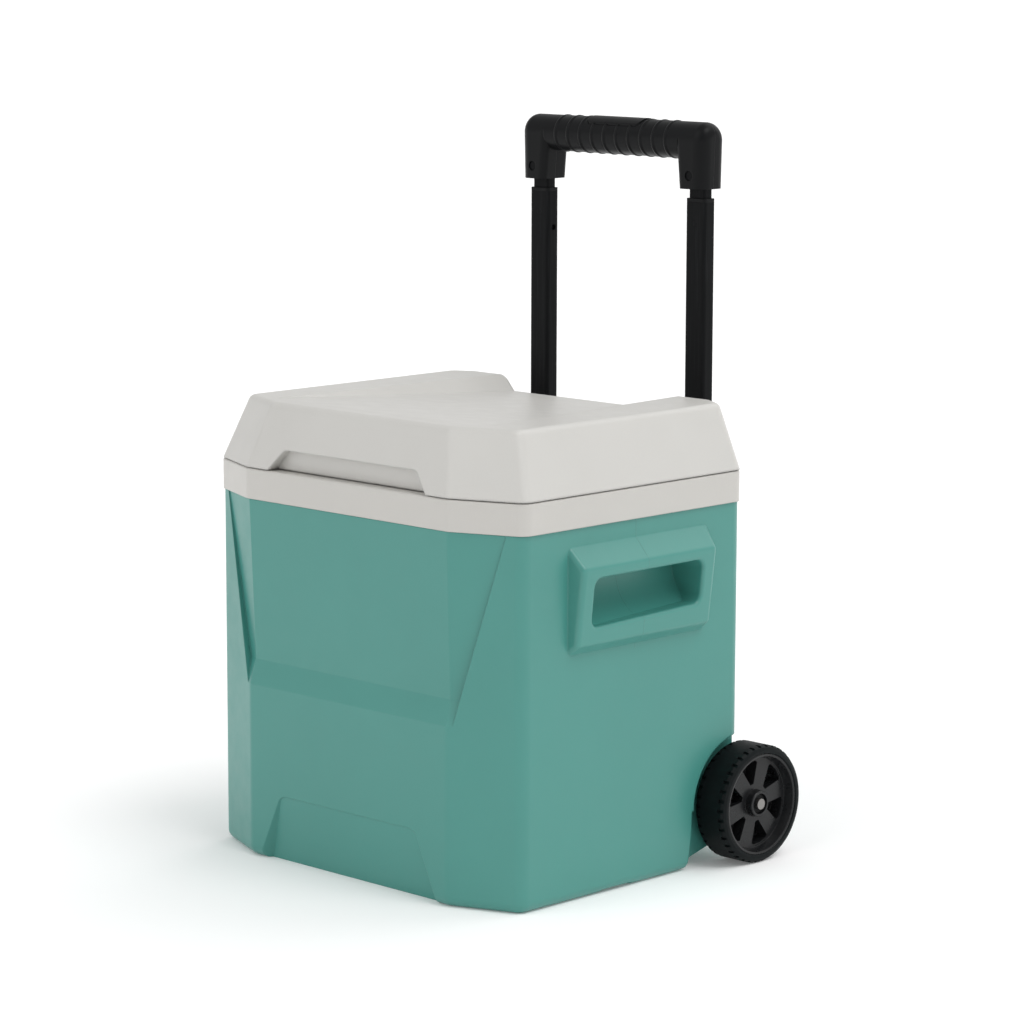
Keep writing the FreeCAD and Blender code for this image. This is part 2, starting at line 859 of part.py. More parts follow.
def build_body():
    """Shell, liner and the foam between them."""
    wall = D.shell_wall
    recesses = [
        shield_recess("shield", 0), foot_recess("foot", 0), underside("underside", 0),
        both_sides("wells", wheel_well("well", 0))]
    scoop = pocket_scoop("scoop", 0)
    ledges = both_sides("ledges", side_ledge("ledge", scoop))
    walls = cut("shell_walls", body_prism("shell_prism", 0, 0, D.shell_top), *recesses)
    outside = cut("shell_outside", fuse("shell_solid", walls, ledges), both_sides("scoops", scoop))

    backs = [
        shield_recess("shield_back", wall), foot_recess("foot_back", wall),
        underside("underside_back", D.floor_wall),
        both_sides("wells_back", wheel_well("well_back", wall)),
        both_sides("scoops_back", pocket_scoop("scoop_back", wall))]
    hollow_prism = body_prism("hollow_prism", wall, D.floor_wall, D.shell_top + 1)
    hollow = cut("shell_hollow", hollow_prism, *backs)
    sleeve_hole = rod("sleeve_hole", "X", D.sleeve_radius,
                      (-D.half_width, D.wheel_y, D.wheel_radius), D.half_width * 2)
    part("outer_shell", cut("shell_part", outside, hollow, sleeve_hole))

    tub_floor = D.tub_floor - D.liner_wall
    tub_outside = tub_form("tub_outside", D.liner_wall, tub_floor, D.collar_top)
    tub_inside = tub_form("tub_inside", 0, D.tub_floor, D.collar_top + 1)
    collar = collar_ring("collar", D.collar_proud, 0, (D.shell_top, D.collar_top))
    fillet(collar, level_at(D.collar_top), D.collar_edge_radius)
    collar_void = collar_ring("collar_void", 0, D.shell_wall, (D.shell_top, D.collar_top - wall))
    ring_void = cut("collar_ring_void", collar_void, tub_outside)
    liner_solid = fuse("liner_solid", cut("hollow_collar", collar, ring_void), tub_outside)
    part("inner_liner", cut("liner_part", liner_solid, tub_inside))

    foam_top = slab("foam_top", D.shell_top, D.shell_top + D.lead)
    body_space = cut("body_space", hollow, tub_outside, foam_top, sleeve_hole)
    part("body_foam", fuse("body_foam_part", body_space, ring_void))


# ---------------------------------------------------------------- lid

def lid_plan(half, front, rear, inset=0):
    """Outline of the lid from above, with its chamfers scaled to its width."""
    inset = size(inset)
    side = size(half) - inset
    front_edge = inset - size(front)
    rear_edge = size(rear) - inset
    scale = size(half) / D.half_width
    front_x = size(half) - D.front_chamfer_x * scale - inset * FRONT_TURN
    front_y = D.front_chamfer_y * scale - size(front) + inset * SIDE_TURN
    back_x = side - D.lid_rear_chamfer_x * scale + inset * 0.5
    back_y = rear_edge - D.lid_rear_chamfer_y * scale + inset * 0.5
    return [(-front_x, front_edge), (front_x, front_edge), (side, front_y), (side, back_y),
            (back_x, rear_edge), (-back_x, rear_edge), (-side, back_y), (-side, front_y)]


def lid_form(name, inset, bottom, top):
    """The tapered lid block."""
    low = lid_plan(D.half_width + D.collar_proud, D.front_depth, D.lid_rear, inset)
    high = lid_plan(D.lid_top_half, D.lid_top_front, D.lid_top_rear, inset)
    return loft(name, "XY", [(bottom, low), (top, high)])


def tray(name, sunk, narrowed):
    """Wedge that makes the sloping deck between the two rails, open at the rear."""
    sunk = size(sunk)
    narrowed = size(narrowed)

    def section(half, depth):
        top_half = half - narrowed + D.tray_flank * 0.5
        floor_half = half - narrowed - depth * 0.7
        return [(-floor_half, D.lid_top - depth - sunk), (floor_half, D.lid_top - depth - sunk),
                (top_half, D.lid_top + D.tray_lead), (-top_half, D.lid_top + D.tray_lead)]

    return loft(name, "XZ", [(D.tray_front + narrowed, section(D.tray_front_half, D.tray_front_depth)),
                             (D.lid_rear + D.tray_lead, section(D.tray_rear_half, D.tray_depth))])


def grasp(name, grown):
    """Finger recess under the front edge of the lid."""
    grown = size(grown)
    low = D.lid_bottom - 1
    high = D.lid_bottom + D.grasp_height + grown
    blank = prism(name + "_blank", "XZ", [
        (-D.grasp_bottom_half - grown, low), (D.grasp_bottom_half + grown, low),
        (D.grasp_top_half + grown, high), (-D.grasp_top_half - grown, high)],
        -D.front_depth - D.lead, D.grasp_wall_y + grown)
    return softened(name, blank, running_along("Y", D.lid_bottom.value + 1), D.grasp_corner)


def hinge_pocket(name, grown):
    """Space in the rear wall of the lid for the ear of one hinge bracket."""
    grown = size(grown)
    half = D.ear_thickness / 2 + D.ear_gap + grown
    return block(name, (D.hinge_x - half, D.hinge_x + half),
                 (D.hinge_y - D.hinge_pocket_front - grown, D.lid_rear + D.lead),
                 (D.lid_bottom - D.lead, D.hinge_height + D.hinge_pocket_top + grown))


def hinge_rod(name, radius, reach):
    """A rod along the hinge axis, centred on the right-hand hinge."""
    return rod(name, "X", radius, (D.hinge_x - reach, D.hinge_y, D.hinge_height), reach * 2)


def slab(name, low, high):
    """A level slice of space, wider than the cooler."""
    return block(name, (-D.span, D.span), (-D.span, D.span), (low, high))


def plug_block(name, inset, low, high):
    """The plug under the lid, which fits the mouth of the tub; inset makes it smaller."""
    inset = size(inset) + D.plug_clearance
    side = D.tub_half_width - inset
    front = inset - D.tub_front
    rear = D.tub_rear - inset
    corners = [(-side, front), (side, front), (side, rear), (-side, rear)]
    return softened(name, prism(name + "_block", "XY", corners, low, high), upright(),
                    D.tub_corner - inset)


def build_lid():
    """Lid cover with its rails, the liner below it and the foam between."""
    block_form = lid_form("lid_block", 0, D.lid_bottom, D.lid_top)
    creased = softened("lid_creased", block_form, steep(), D.crease_radius)
    outer = softened("lid_rounded", creased, level_at(D.lid_top), D.lid_edge_radius)
    pin_end = D.ear_thickness / 2 + D.ear_gap + D.cheek_thickness
    bores = both_sides("lid_bores", hinge_rod(
        "lid_bore", D.hinge_pin_radius + D.hinge_running_gap, pin_end + D.pin_end_gap))
    solid = cut("lid_solid", outer, tray("tray", 0, 0), grasp("grasp", 0),
                both_sides("hinge_pockets", hinge_pocket("hinge_pocket", 0)), bores)
    bosses = both_sides("lid_bosses", hinge_rod("lid_boss", D.hinge_boss, pin_end + D.cheek_rim))
    void = lid_form("lid_void", D.lid_wall, D.lid_bottom - 0.5, D.lid_top - D.lid_wall)
    hollow = cut("lid_hollow", void, tray("tray_back", D.lid_wall, -D.lid_wall),
                 grasp("grasp_back", D.lid_wall), bosses,
                 both_sides("hinge_cheeks", hinge_pocket("hinge_cheek", D.cheek_thickness)))
    part("lid_outer", cut("lid_outer_part", solid, hollow))

    skirt_top = D.lid_bottom + D.lid_liner_skirt
    plug_bottom = D.lid_bottom - D.plug_depth
    skirt = common("skirt", hollow, slab("skirt_slab", D.lid_bottom, skirt_top))
    plug = plug_block("plug", 0, plug_bottom, skirt_top)
    plug_hollow = plug_block("plug_hollow", D.plug_wall, plug_bottom + D.plug_wall, skirt_top + 1)
    part("lid_liner", cut("lid_liner_part", fuse("lid_liner_solid", skirt, plug), plug_hollow))

    lid_space = cut("lid_space", hollow, slab("lid_foam_bottom", D.lid_bottom - D.lead, skirt_top))
    plug_space = cut("plug_space", plug_hollow, slab("plug_foam_top", skirt_top, skirt_top + D.lead))
    part("lid_foam", fuse("lid_foam_part", lid_space, plug_space))


def build_hinges():
    """Hinge brackets on the rear of the collar, with their pins and screws."""
    wall_y = D.rear_depth
    back_y = wall_y + D.ear_foot_depth
    half = D.ear_thickness / 2
    boss = hinge_rod("ear_boss", D.hinge_boss, half)
    web = prism("ear_web", "YZ", [
        (D.hinge_y - D.hinge_boss * 0.8, D.hinge_height - D.hinge_boss * 0.6),
        (wall_y - D.hinge_boss, D.collar_top + D.ear_clearance),
        (wall_y, D.collar_top + D.ear_clearance), (wall_y, D.shell_top + D.ear_step),
        (back_y, D.shell_top + D.ear_step), (back_y, D.collar_top + D.ear_lean),
        (D.hinge_y + D.hinge_boss, D.hinge_height - D.hinge_boss)],
        D.hinge_x - half, D.hinge_x + half)
    plate = block("ear_plate", (D.hinge_x - half, D.hinge_x + D.hinge_plate_reach),
                  (wall_y, wall_y + D.hinge_plate_thickness),
                  (D.shell_top + 2, D.collar_top - D.ear_clearance))
    holes = []
    screws = []
    screw_x = D.hinge_x + D.hinge_screw_offset
    for number, rise in enumerate((D.hinge_screw_low, D.hinge_screw_high), start=1):
        height = D.shell_top + rise
        holes.append(rod(f"hinge_screw_hole_{number}", "Y", D.screw_radius,
                         (screw_x, wall_y - 1, height), D.lead))
        head = rod(f"hinge_screw_head_{number}", "Y", D.screw_head_radius,
                   (screw_x, wall_y + D.hinge_plate_thickness, height), D.screw_head_height)
        shank = rod(f"hinge_screw_shank_{number}", "Y", D.screw_radius,
                    (screw_x, wall_y, height), D.hinge_plate_thickness + 1)
        screws.append(fuse(f"hinge_screw_{number}", head, shank))
    bore = hinge_rod("ear_bore", D.hinge_pin_radius, half + 1)
    bracket = cut("hinge_bracket_part", fuse("hinge_bracket_solid", boss, web, plate), bore, *holes)
    pair_of("hinge_bracket", bracket)
    pair_of("hinge_pin", hinge_rod("hinge_pin_part", D.hinge_pin_radius,
                                   half + D.ear_gap + D.cheek_thickness))
    twins = [mirrored(f"hinge_screw_twin_{number}", screw)
             for number, screw in enumerate(screws, start=1)]
    part("hinge_screws", group("hinge_screw_group", *screws, *twins))


# ---------------------------------------------------------------- telescoping handle

CENTRE = (D.tube_x, D.tube_y)
FIXED = (D.fixed_tube_width, D.fixed_tube_depth)
MID = (D.mid_tube_width, D.mid_tube_depth)
INNER = (D.inner_tube_width, D.inner_tube_depth)


def grown_section(section, amount):
    """A tube section that is larger by an amount in both directions."""
    return (section[0] + amount, section[1] + amount)


def inboard_hole(name, section, height, radius):
    """Drill through the wall of the right tube that faces the other tube."""
    start = D.tube_x - section[0] / 2 - 1
    return rod(name, "X", radius, (start, D.tube_y, height), D.tube_wall * 3)


def guide_bush(name, outer, inner, top):
    """Plastic bush in the mouth of a tube: a flange on top and a sleeve inside it."""
    low = top - D.bush_length
    high = top + D.bush_flange
    flange = rounded_bar(name + "_flange", CENTRE, outer, D.tube_corner, top, high)
    insert = grown_section(outer, D.tube_wall * -2)
    sleeve = rounded_bar(name + "_sleeve", CENTRE, insert, D.tube_corner - D.tube_wall, low, top)
    bore = rounded_bar(name + "_bore", CENTRE, grown_section(inner, D.slide_gap),
                       D.tube_corner / 2, low - 1, high + 1)
    return cut(name, fuse(name + "_solid", flange, sleeve), bore)


def lock_plug(name, section, outer, bottom, lock_height, top):
    """Plug in the foot of a sliding tube: a guide foot below it and a seat for the lock pin."""
    foot_section = grown_section(outer, D.tube_wall * -2 - D.slide_gap * 2)
    foot = rounded_bar(name + "_foot", CENTRE, foot_section, D.tube_corner / 2,
                       bottom - D.plug_foot, bottom)
    core = rounded_bar(name + "_core", CENTRE, grown_section(section, D.tube_wall * -2),
                       D.tube_corner - D.tube_wall, bottom, top)
    seat = rod(name + "_seat", "X", D.lock_pin_radius,
               (D.tube_x - D.lock_seat_lead, D.tube_y, lock_height), D.lock_seat_depth)
    return cut(name, fuse(name + "_solid", foot, core), seat)


def lock_pin(name, section, lock_height):
    """Lock pin, drawn back level with the wall of its tube."""
    start = D.tube_x - section[0] / 2 + D.lock_pin_set_back
    return rod(name, "X", D.lock_pin_radius, (start, D.tube_y, lock_height), D.lock_pin_length)


def pair_of(name, right):
    """Registers a right-hand piece and its mirror twin as two nodes."""
    part(name + "_right", right)
    part(name + "_left", mirrored(name + "_mirror", right))


def build_tubes():
    """Three stages of tube on each side, with bushes, plugs, lock pins and rivets."""
    fixed_stock = tube("fixed_tube_stock", CENTRE, FIXED, D.tube_corner, D.tube_wall,
                       D.fixed_tube_bottom, D.fixed_tube_top)
    pair_of("fixed_tube", cut("fixed_tube", fixed_stock, inboard_hole(
        "fixed_lock_hole", FIXED, D.mid_lock_height, D.lock_pin_radius + D.lock_hole_gap)))
    pair_of("fixed_bush", guide_bush("fixed_bush_part", FIXED, MID, D.fixed_tube_top))

    rivet_start = D.tube_y - D.mid_tube_depth / 2
    bush_wall = (D.mid_tube_depth - D.tube_wall * 2 - D.inner_tube_depth - D.slide_gap) / 2
    rivet_length = D.tube_wall + bush_wall
    rivet_hole = rod("rivet_hole", "Y", D.rivet_radius,
                     (D.tube_x, rivet_start - 1, D.rivet_height), rivet_length + 1)
    mid_stock = tube("mid_tube_stock", CENTRE, MID, D.tube_corner, D.tube_wall,
                     D.mid_tube_bottom, D.mid_tube_top)
    upper_hole = inboard_hole("mid_upper_hole", MID, D.mid_hole_height, D.lock_pin_radius + D.lock_hole_gap)
    lower_hole = inboard_hole("mid_lower_hole", MID, D.mid_lock_height, D.lock_pin_radius)
    pair_of("mid_tube", cut("mid_tube", mid_stock, upper_hole, lower_hole, rivet_hole))
    mid_bush = guide_bush("mid_bush_whole", MID, INNER, D.mid_tube_top)
    pair_of("mid_bush", cut("mid_bush_part", mid_bush, rivet_hole))
    pair_of("mid_lock_plug", lock_plug("mid_lock_plug_part", MID, FIXED, D.mid_tube_bottom,
                                       D.mid_lock_height, D.mid_lock_height + D.mid_plug_rise))
    rivet = rod("rivet", "Y", D.rivet_radius, (D.tube_x, rivet_start, D.rivet_height),
                rivet_length)
    part("mid_bush_rivets", group("rivet_group", rivet, mirrored("rivet_twin", rivet)))
    mid_pin = lock_pin("mid_pin", MID, D.mid_lock_height)
    part("mid_lock_pins", group("mid_pin_group", mid_pin, mirrored("mid_pin_twin", mid_pin)))

    inner_stock = tube("inner_tube_stock", CENTRE, INNER, D.tube_corner * 0.7, D.tube_wall,
                       D.inner_tube_bottom, D.inner_tube_top)
    pin_hole = inboard_hole("inner_lower_hole", INNER, D.inner_lock_height, D.lock_pin_radius)
    screw_hole = rod("inner_screw_hole", "Y", D.screw_radius,
                     (D.tube_x, D.tube_y - D.grip_screw_length, D.grip_screw_height),
                     D.grip_screw_length * 2)
    pair_of("inner_tube", cut("inner_tube", inner_stock, pin_hole, screw_hole))
    pair_of("inner_lock_plug", lock_plug("inner_lock_plug_part", INNER, MID, D.inner_tube_bottom,
                                         D.inner_lock_height, D.inner_lock_height + D.inner_plug_rise))
    inner_pin = lock_pin("inner_pin", INNER, D.inner_lock_height)
    inner_twin = mirrored("inner_pin_twin", inner_pin)
    part("inner_lock_pins", group("inner_pin_group", inner_pin, inner_twin))


def screw_set(name, positions, start_y, length):
    """Identical screws along Y, heads to the rear, and the holes that they fill."""
    screws = []
    holes = []
    for number, (x, height) in enumerate(positions, start=1):
        shank = rod(f"{name}_shank_{number}", "Y", D.screw_radius,
                    (x, start_y - length, height), length)
        head = rod(f"{name}_head_{number}", "Y", D.screw_head_radius, (x, start_y, height),
                   D.screw_head_height)
        holes.append(rod(f"{name}_hole_{number}", "Y", D.screw_radius,
                         (x, start_y - length - 1, height), length + 2))
        screws.append(fuse(f"{name}_{number}", shank, head))
    return screws, holes


def build_brackets():
    """Upper and lower clamps that hold the fixed tubes against the rear wall."""
    half = D.bracket_half_width
    rear = D.bracket_rear
    upper_z = (D.bracket_top - D.bracket_height, D.bracket_top)
    lower_z = (D.base_bottom, D.base_bottom + D.base_height)
    waist = D.rear_depth + D.bracket_waist
    edge = D.tube_x - D.bracket_ear_width
    run = D.bracket_ear_run

    def clamp(name, heights, tube_floor):
        body = new_body(name + "_block")
        sketch = body_sketch(body, name + "_plan", "XY", heights[0])
        draw_polygon(sketch, [
            (-half, D.rear_depth), (half, D.rear_depth), (half, rear), (edge, rear), (edge - run, waist),
            (run - edge, waist), (-edge, rear), (-half, rear)])
        pad(body, sketch, heights[1] - heights[0])
        fillet(body, upright(D.rear_depth.value + 1), D.bracket_corner)
        socket = rounded_bar(name + "_socket", CENTRE, FIXED, D.tube_corner, tube_floor, heights[1] + 1)
        return body, both_sides(name + "_sockets", socket)

    upper, upper_sockets = clamp("upper_clamp", upper_z, upper_z[0] - 1)
    lower, lower_sockets = clamp("lower_clamp", lower_z, D.fixed_tube_bottom)
    heights = (upper_z[0] + D.upper_screw_rise, lower_z[0] + D.lower_screw_rise)
    pitch = D.bracket_screw_pitch
    positions = [(x, height) for height in heights for x in (-pitch, size(0), pitch)]
    screws, holes = screw_set("bracket_screw", positions, waist, D.bracket_screw_length)
    part("handle_bracket_upper", cut("upper_clamp_part", upper, upper_sockets, *holes[:3]))
    part("handle_bracket_lower", cut("lower_clamp_part", lower, lower_sockets, *holes[3:]))
    part("bracket_screws", group("bracket_screw_group", *screws))


def grip_leg():
    """One end of the grip: the round bar turns down into a tapered leg with a rounded end face."""
    middle = (D.grip_front + D.grip_rear) / 2
    depth = D.grip_rear - D.grip_front

    def section(low, high):
        return rectangle((low + high) / 2, middle, high - low, depth)

    taper = loft("grip_taper", "XY", [(D.grip_bottom, section(D.grip_foot_inner, D.grip_foot_outer)),
                                      (D.grip_top, section(D.grip_inner_half, D.grip_outer_half))])
    inner_edges = softened("grip_inner_edges", taper, inboard_of(D.grip_foot_inner + 1),
                           D.grip_leg_radius)
    below = block("grip_below_bar", (0, D.span), (0, D.span), (D.grip_bottom - 1, D.grip_height))
    round_bar = rod("grip_round", "X", D.grip_bar_radius, (0, D.tube_y, D.grip_height), D.span)
    leg = common("grip_leg", inner_edges, fuse("grip_bar_space", below, round_bar))
    return softened("grip_end", leg, end_outline(D.grip_foot_outer - 1, D.grip_bottom + 1),
                    D.grip_corner_radius)


def inboard_of(limit):
    """Chooses steep edges that lie nearer the middle than a limit in X."""
    def choose(shape):
        return [number for number in steep()(shape)
                if shape.Edges[number - 1].BoundBox.XMax < limit.value]
    return choose


def end_outline(limit, bottom):
    """Chooses edges beyond a limit in X, except the ones that lie at the bottom."""
    def choose(shape):
        return [number for number in outboard(limit)(shape)
                if shape.Edges[number - 1].BoundBox.ZMax > bottom.value]
    return choose


def grip_screw(number, side):
    """One grip screw with its hole and head seat; side is -1 for the front, 1 for the rear."""
    face = D.grip_front if side < 0 else D.grip_rear
    reach = D.grip_screw_length
    start = face + 1 if side < 0 else face - 1 - reach
    head_start = face + 1 if side < 0 else face - 1 - D.screw_head_height
    seat_start = face - 1 if side < 0 else face - 1 - D.screw_head_height
    spot = (D.tube_x, D.grip_screw_height)
    shank = rod(f"grip_screw_shank_{number}", "Y", D.screw_radius, (spot[0], start, spot[1]), reach)
    head = rod(f"grip_screw_head_{number}", "Y", D.screw_head_radius,
               (spot[0], head_start, spot[1]), D.screw_head_height)
    seat = rod(f"grip_head_seat_{number}", "Y", D.screw_head_radius,
               (spot[0], seat_start, spot[1]), D.screw_head_height + 2)
    hole = rod(f"grip_screw_hole_{number}", "Y", D.screw_radius,
               (spot[0], start - 1, spot[1]), reach + 2)
    return fuse(f"grip_screw_{number}", shank, head), [seat, hole]


def build_grip():
    """Grip in a front and a rear half, with the push button, its rods and its springs."""
    bar = rod("grip_bar", "X", D.grip_bar_radius,
              (-D.grip_foot_inner, D.tube_y, D.grip_height), D.grip_foot_inner * 2)
    ribs = []
    for number in range(int(D.rib_count.value)):
        ring = doc.addObject("Part::Torus", f"grip_rib_{number + 1}")
        ring.Placement = Placement(Vector(), AXES["X"])
        place(ring, D.rib_pitch * (number - (D.rib_count - 1) / 2), D.tube_y, D.grip_height)
        bind(ring, "Radius1", D.grip_bar_radius - D.rib_sunk)
        bind(ring, "Radius2", D.rib_radius)
        ribs.append(ring)
    solid = fuse("grip_solid", bar, both_sides("grip_ends", grip_leg()), *ribs)

    channel = block("grip_channel", (-D.channel_half, D.channel_half),
                    (D.tube_y - D.channel_depth / 2, D.tube_y + D.channel_depth / 2),
                    (D.channel_bottom, D.channel_top))
    gap = D.button_gap
    well = rounded_bar("button_well", (0, D.tube_y), (
        (D.button_half_length + gap) * 2, (D.button_half_width + gap) * 2),
        D.button_corner + gap, D.button_well, D.grip_top + D.lead)
    stem_slot = block("stem_slot", (-D.stem_half_length - gap, D.stem_half_length + gap),
                      (D.tube_y - D.stem_half_width - gap, D.tube_y + D.stem_half_width + gap),
                      (D.channel_top - 1, D.button_well + 1))
    socket = rounded_bar("grip_socket", CENTRE, INNER, D.tube_corner * 0.7, D.grip_bottom - 1,
                         D.inner_tube_top)
    spring_well = rod("spring_well", "Z", D.spring_radius + D.spring_well_gap,
                      CENTRE + (D.inner_tube_top - 1,), D.channel_bottom - D.inner_tube_top + 2)
    screws = []
    screw_space = []
    for number, side in enumerate((-1, 1), start=1):
        screw, space = grip_screw(number, side)
        screws += [screw, mirrored(f"grip_screw_twin_{number}", screw)]
        screw_space += space
    hollowed = cut("grip_hollowed", solid, channel, well, stem_slot,
                   both_sides("grip_sockets", socket), both_sides("spring_wells", spring_well),
                   both_sides("grip_screw_space", fuse("grip_screw_space_right", *screw_space)))
    across = (-D.span, D.span)
    heights = (D.grip_bottom - D.lead, D.grip_top + D.lead)
    front_space = block("grip_front_space", across, (0, D.tube_y), heights)
    rear_space = block("grip_rear_space", across, (D.tube_y, D.span), heights)
    part("grip_front_shell", common("grip_front_part", hollowed, front_space))
    part("grip_rear_shell", common("grip_rear_part", hollowed, rear_space))
    part("grip_screws", group("grip_screw_group", *screws))
    build_button()


def build_button():
    """Push button with its yoke, the release rods below it and their return springs."""
    cap_round = rod("button_round", "X", D.button_radius,
                    (-D.button_half_length, D.tube_y, D.grip_height), D.button_half_length * 2)
    cap_block = rounded_bar("button_block", (0, D.tube_y), (
        D.button_half_length * 2, D.button_half_width * 2), D.button_corner,
        D.button_bottom, D.grip_top + D.lead)
    cap = common("button_cap", cap_round, cap_block)
    stem = block("button_stem", (-D.stem_half_length, D.stem_half_length),
                 (D.tube_y - D.stem_half_width, D.tube_y + D.stem_half_width),
                 (D.yoke_top - 1, D.button_bottom + 1))
    yoke = block("button_yoke", (-D.tube_x - D.yoke_reach, D.tube_x + D.yoke_reach),
                 (D.tube_y - D.yoke_width / 2, D.tube_y + D.yoke_width / 2),
                 (D.yoke_bottom, D.yoke_top))
    rod_hole = rod("rod_hole", "Z", D.rod_radius, CENTRE + (D.yoke_bottom - 1,), D.rod_seat + 1)
    button_solid = fuse("release_button_solid", cap, stem, yoke)
    rod_holes = both_sides("rod_holes", rod_hole)
    part("release_button", cut("release_button_part", button_solid, rod_holes))
    pair_of("release_rod", rod("release_rod", "Z", D.rod_radius, CENTRE + (D.rod_bottom,),
                               D.yoke_bottom + D.rod_seat - D.rod_bottom))
    pair_of("button_spring", button_spring())


def button_spring():
    """Return spring round one release rod, between the inner tube and the yoke."""
    height = D.yoke_bottom - D.inner_tube_top
    coil_radius = D.spring_radius - D.spring_wire / 2
    start = D.inner_tube_top + D.spring_wire / 2
    path = doc.addObject("Part::Helix", "spring_path")
    bind(path, "Pitch", (height - D.spring_wire) / D.spring_turns)
    bind(path, "Height", height - D.spring_wire)
    bind(path, "Radius", coil_radius)
    place(path, *CENTRE, start)
    ring = doc.addObject("Part::Circle", "spring_wire")
    bind(ring, "Radius", D.spring_wire / 2)
    ring.Placement = Placement(Vector(), PLANES["XZ"])
    place(ring, D.tube_x + coil_radius, D.tube_y, start)
    spring = doc.addObject("Part::Sweep", "spring_part")
    spring.Sections = [ring]
    spring.Spine = (path, ["Edge1"])
    spring.Solid = True
    spring.Frenet = True
    return spring


# ---------------------------------------------------------------- wheels and axle

def ring_points(low, high, inner, outer):
    """A rectangle in the half plane of a revolution about X."""
    return [(low, inner), (high, inner), (high, outer), (low, outer)]


def revolved(body, sketch):
    """Turns a sketch of a body round the wheel axis."""
    feature = body.newObject("PartDesign::Revolution", sketch.Name + "_turned")
    feature.Profile = sketch
    feature.ReferenceAxis = (sketch, ["H_Axis"])
    feature.Angle = 360
    return feature


def polar(body, feature, sketch, count):
    """Repeats a feature round the wheel axis."""
    pattern = body.newObject("PartDesign::PolarPattern", feature.Name + "_ring")
    pattern.Originals = [feature]
    pattern.Axis = (sketch, ["H_Axis"])
    pattern.Angle = 360
    bind(pattern, "Occurrences", count)
    body.Tip = pattern
    doc.recompute()
    return pattern


def set_on_axle(body):
    """Moves a wheel part, drawn about the X axis, to its place on the axle and turns it."""
    body.Placement = Placement(Vector(), Rotation(Vector(1, 0, 0), D.wheel_turn.value))
    place(body, 0, D.wheel_y, D.wheel_radius)
    return body


def build_hub():
    """Hub of the right wheel: a thick disc with six window recesses inside a conical rim."""
    inner, outer = D.wheel_inner_x, D.wheel_outer_x
    disc_outer = outer - D.disc_setback
    disc_inner = disc_outer - D.disc_thickness
    boss = outer - D.hub_boss_setback
    recess = boss - D.hub_recess_depth
    bore = D.axle_radius + D.axle_gap
    hub = new_body("hub")
    sketch = body_sketch(hub, "hub_section", "XZ")
    draw_polygon(sketch, [
        (inner - 0.5, bore), (recess, bore), (recess, D.hub_recess_radius),
        (boss, D.hub_recess_radius), (boss, D.hub_radius - D.hub_edge), (boss - D.hub_edge, D.hub_radius),
        (disc_outer, D.hub_radius + D.hub_edge), (disc_outer, D.rim_inner_radius - D.rim_cone),
        (outer - 1, D.rim_inner_radius), (outer - D.hub_edge, D.tyre_seat_radius - D.hub_edge),
        (outer - 1, D.tyre_seat_radius), (inner + D.rim_seat, D.tyre_seat_radius),
        (inner + D.rim_seat, D.rim_inner_radius), (disc_inner, D.rim_inner_radius - D.rim_back_cone),
        (disc_inner, D.hub_radius), (inner - 0.5, D.hub_radius - 1)])
    revolved(hub, sketch)
    doc.recompute()
    window = body_sketch(hub, "hub_window", "YZ", disc_outer - D.window_depth)
    narrow, wide = D.window_inner_half, D.window_outer_half
    low, high = D.window_inner_radius, D.window_outer_radius
    shoulder = high - D.window_shoulder
    draw_polygon(window, [
        (-narrow, low), (narrow, low), (wide, shoulder), (wide - 2, high - 1), (0, high),
        (2 - wide, high - 1), (-wide, shoulder)])
    cutter = pocket(hub, window, D.window_depth + D.lead, reverse=True)
    polar(hub, cutter, sketch, D.spoke_count)
    return hub


def build_tyre():
    """Tyre of the right wheel, with a row of lugs along each shoulder."""
    inner, outer = D.wheel_inner_x, D.wheel_outer_x
    full = D.wheel_radius
    bead = D.tyre_seat_radius + D.tyre_bead
    tyre = new_body("tyre")
    section = body_sketch(tyre, "tyre_section", "XZ")
    draw_polygon(section, [
        (inner + D.rim_seat, D.tyre_seat_radius), (outer - 1, D.tyre_seat_radius), (outer, bead),
        (outer, full - D.tyre_shoulder_inner), (outer - 1, full - D.tyre_shoulder_outer),
        (outer - D.tyre_shoulder_width, full), (inner + D.tyre_shoulder_width, full),
        (inner + 1, full - D.tyre_shoulder_outer), (inner, full - D.tyre_shoulder_inner),
        (inner, bead)])
    revolved(tyre, section)
    doc.recompute()
    for number, low in enumerate((outer - D.tread_band, inner - 1), start=1):
        groove = body_sketch(tyre, f"tread_groove_{number}", "XZ", 0)
        high = low + D.tread_band + 1
        floor = full - D.tread_lug_depth
        draw_polygon(groove, [(low, floor), (high, floor), (high, full + 2), (low, full + 2)])
        feature = tyre.newObject("PartDesign::Pocket", f"tread_cut_{number}")
        feature.Profile = groove
        feature.Midplane = True
        bind(feature, "Length", D.tread_lug_width)
        doc.recompute()
        polar(tyre, feature, section, D.lug_count)
    return tyre


def build_wheels():
    """Hub and tyre of both wheels."""
    pair_of("wheel_hub", set_on_axle(build_hub()))
    pair_of("tyre", set_on_axle(build_tyre()))


